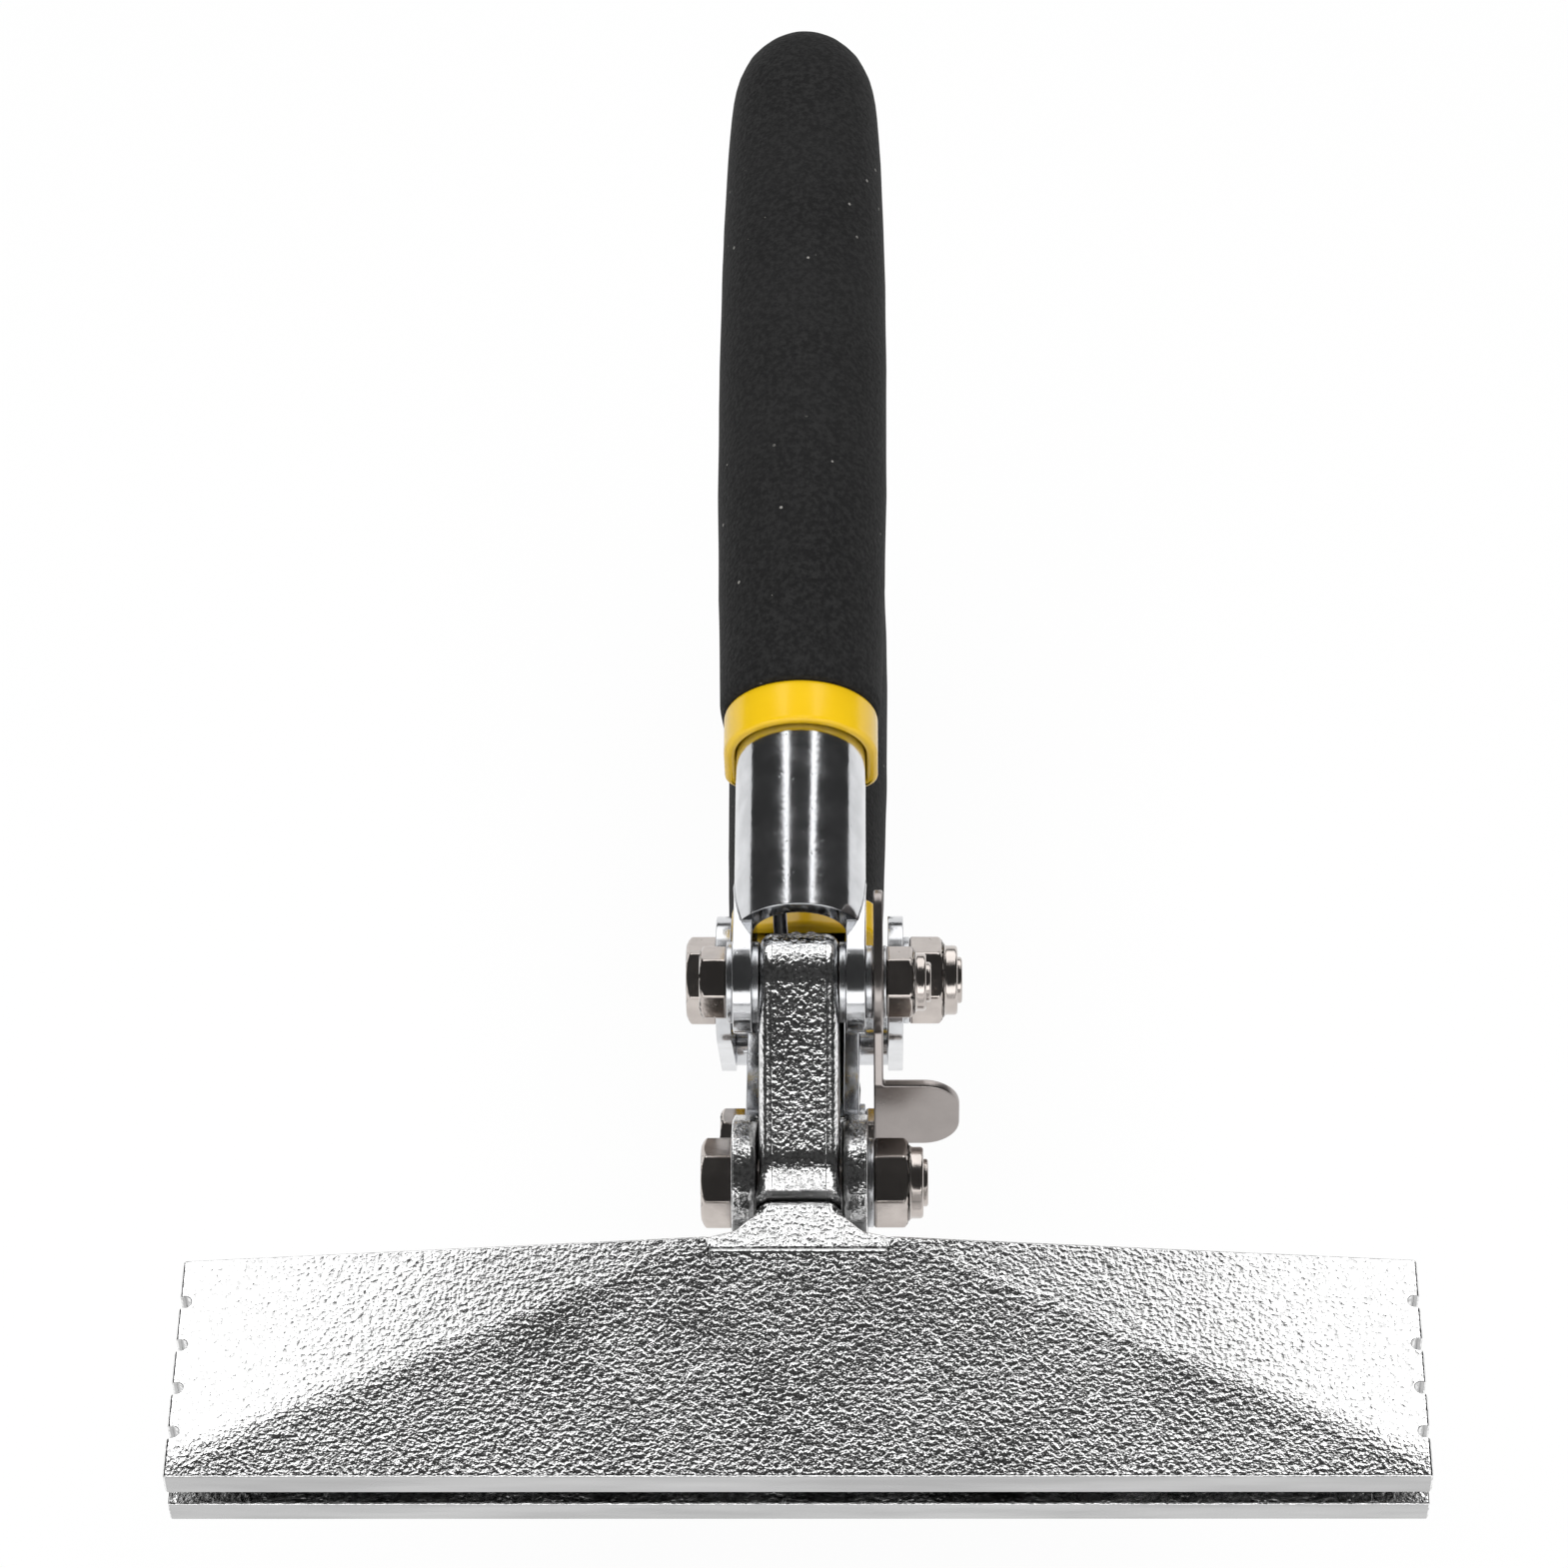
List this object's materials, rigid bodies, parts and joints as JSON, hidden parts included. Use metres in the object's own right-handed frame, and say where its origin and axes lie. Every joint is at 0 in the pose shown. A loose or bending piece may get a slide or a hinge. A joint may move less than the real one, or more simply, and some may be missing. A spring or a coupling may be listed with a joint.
{
  "type": "sheet-metal hand seamer",
  "caption": "Straight-jaw sheet-metal hand seamer: wide bending jaws worked by compound handles with foam grips and a side latch.",
  "frame": {"origin": "centre of the tool's bounding box, in the plane where the jaws meet", "axes": "+X along the jaws, +Y from the jaws to the handles, +Z from the lower jaw to the upper jaw"},
  "size_m": [0.1524, 0.2096, 0.1014],
  "materials": {
    "jaw_steel": "satin",
    "handle_steel": "gloss",
    "grip_foam": "matte",
    "collar_plastic": "gloss",
    "bolt_steel": "satin",
    "washer_steel": "satin",
    "insert_nylon": "matte",
    "spring_steel": "satin",
    "latch_steel": "satin"
  },
  "bodies": {
    "lower_jaw": {"lower_jaw": "jaw_steel", "jaw_pivot_bolt": "bolt_steel", "jaw_pivot_nut": "bolt_steel", "jaw_pivot_nut_insert": "insert_nylon", "jaw_pivot_washer": "washer_steel"},
    "upper_jaw": {"upper_jaw": "jaw_steel"},
    "upper_handle": {"upper_handle": "handle_steel", "upper_grip": "grip_foam", "upper_collar": "collar_plastic", "upper_link_bolt": "bolt_steel", "upper_link_nut": "bolt_steel", "upper_link_nut_insert": "insert_nylon", "upper_link_washer": "washer_steel", "upper_link_shims": "washer_steel", "latch_spacer": "washer_steel", "latch_wave_washer": "washer_steel"},
    "lower_handle": {"lower_handle": "handle_steel", "lower_grip": "grip_foam", "lower_collar": "collar_plastic", "lower_link_bolt": "bolt_steel", "lower_link_nut": "bolt_steel", "lower_link_nut_insert": "insert_nylon", "lower_link_washer": "washer_steel", "handle_pivot_bolt": "bolt_steel", "handle_pivot_nut": "bolt_steel", "handle_pivot_nut_insert": "insert_nylon", "handle_pivot_washer": "washer_steel", "handle_pivot_spacers": "washer_steel", "spring_sleeve": "washer_steel", "torsion_spring": "spring_steel"},
    "latch": {"latch": "latch_steel"}
  },
  "joints": [
    {"name": "jaw_pivot", "type": "hinge", "parent": "lower_jaw", "child": "upper_jaw", "pos_m": [0, -0.05862, 0], "axis": [-1, 0, 0], "range_deg": [-3, 18], "deforming": ["torsion_spring"]},
    {"name": "upper_link", "type": "hinge", "parent": "upper_jaw", "child": "upper_handle", "pos_m": [0, -0.04018, 0.01747], "axis": [1, 0, 0], "range_deg": [-3.6, 21]},
    {"name": "lower_link", "type": "hinge", "parent": "lower_jaw", "child": "lower_handle", "pos_m": [0, -0.04018, -0.01747], "axis": [-1, 0, 0], "range_deg": [-3.6, 21]},
    {"name": "latch_pivot", "type": "hinge", "parent": "upper_handle", "child": "latch", "pos_m": [0, -0.04018, 0.01747], "axis": [-1, 0, 0], "range_deg": [0, 8]}
  ],
  "couplings": [
    {"joint": "upper_link", "follows": "jaw_pivot", "ratio": 1.161},
    {"joint": "lower_link", "follows": "jaw_pivot", "ratio": 1.161}
  ]
}
